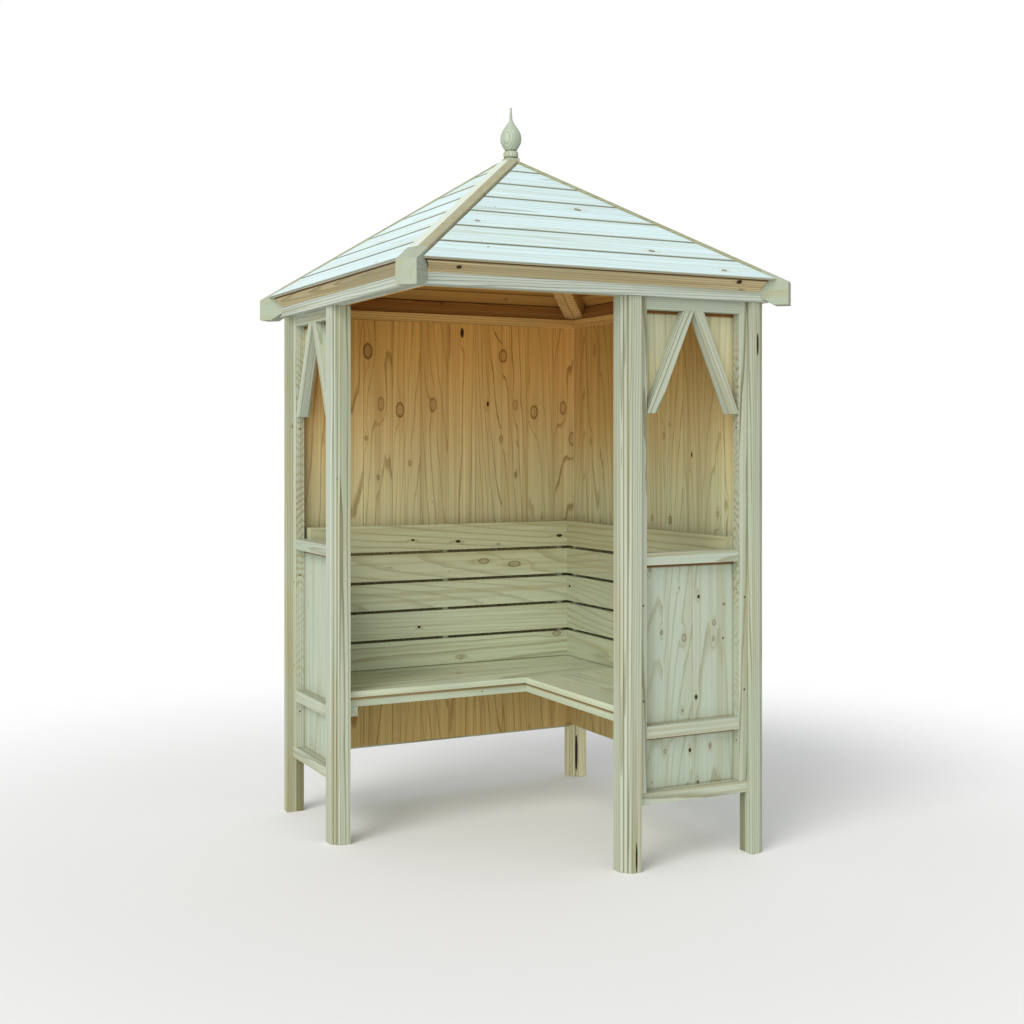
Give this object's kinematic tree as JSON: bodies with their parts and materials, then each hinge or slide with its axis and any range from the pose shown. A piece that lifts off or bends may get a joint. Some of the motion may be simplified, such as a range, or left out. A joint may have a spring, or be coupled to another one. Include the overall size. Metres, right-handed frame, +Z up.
{
  "type": "corner arbor",
  "caption": "Square wooden garden arbor with two boarded walls, an open front corner, an L-shaped bench and a pyramid roof of lapped boards with a turned finial.",
  "frame": {"origin": "on the ground, under the middle of the square footprint", "axes": "+Z up; the open doorway corner points toward -X and -Y, the closed corner toward +X and +Y; wall A is at +Y, wall B at +X"},
  "size_m": [1.3398, 1.3398, 2.4002],
  "materials": {
    "wood": "planed, pressure treated",
    "wood_warm": "planed, pressure treated",
    "wood_roof": "planed, bleached by the sun",
    "wood_cap": "planed, pressure treated"
  },
  "bodies": {
    "root": {"post_left": "wood", "post_back": "wood", "post_right": "wood", "post_front_left": "wood", "post_front_right": "wood", "ring_front": "wood", "ring_left": "wood", "ring_back": "wood", "ring_side": "wood", "wall_a_frame": "wood", "wall_a_boards": "wood_warm", "wall_b_frame": "wood", "wall_b_boards": "wood_warm", "panel_r_stiles": "wood", "panel_r_top_rail": "wood", "panel_r_arm_rail": "wood", "panel_r_lower_rails": "wood", "panel_r_boards": "wood", "panel_r_brackets": "wood", "panel_r_spandrels": "wood", "panel_l_stiles": "wood", "panel_l_top_rail": "wood", "panel_l_arm_rail": "wood", "panel_l_lower_rails": "wood", "panel_l_boards": "wood", "panel_l_brackets": "wood", "panel_l_spandrels": "wood", "seat_a_boards": "wood", "seat_b_boards": "wood", "seat_a_frame": "wood", "seat_b_frame": "wood", "seat_ledgers_a": "wood", "seat_ledgers_b": "wood", "back_slats_a": "wood", "back_slats_b": "wood", "back_battens_a": "wood", "back_battens_b": "wood", "roof_boards_front": "wood_roof", "roof_boards_left": "wood_roof", "roof_boards_back": "wood_roof", "roof_boards_side": "wood_roof", "hip_rafters_front": "wood_warm", "hip_rafters_left": "wood_warm", "hip_rafters_back": "wood_warm", "hip_rafters_side": "wood_warm", "eaves_batten_front": "wood_warm", "eaves_batten_left": "wood_warm", "eaves_batten_back": "wood_warm", "eaves_batten_side": "wood_warm", "hip_cap_front": "wood_cap", "hip_cap_right": "wood_cap", "hip_cap_back": "wood_cap", "hip_cap_left": "wood_cap", "hip_tail_front": "wood_cap", "hip_tail_right": "wood_cap", "hip_tail_back": "wood_cap", "hip_tail_left": "wood_cap", "apex_block": "wood_cap", "finial": "wood_cap"}
  },
  "joints": []
}
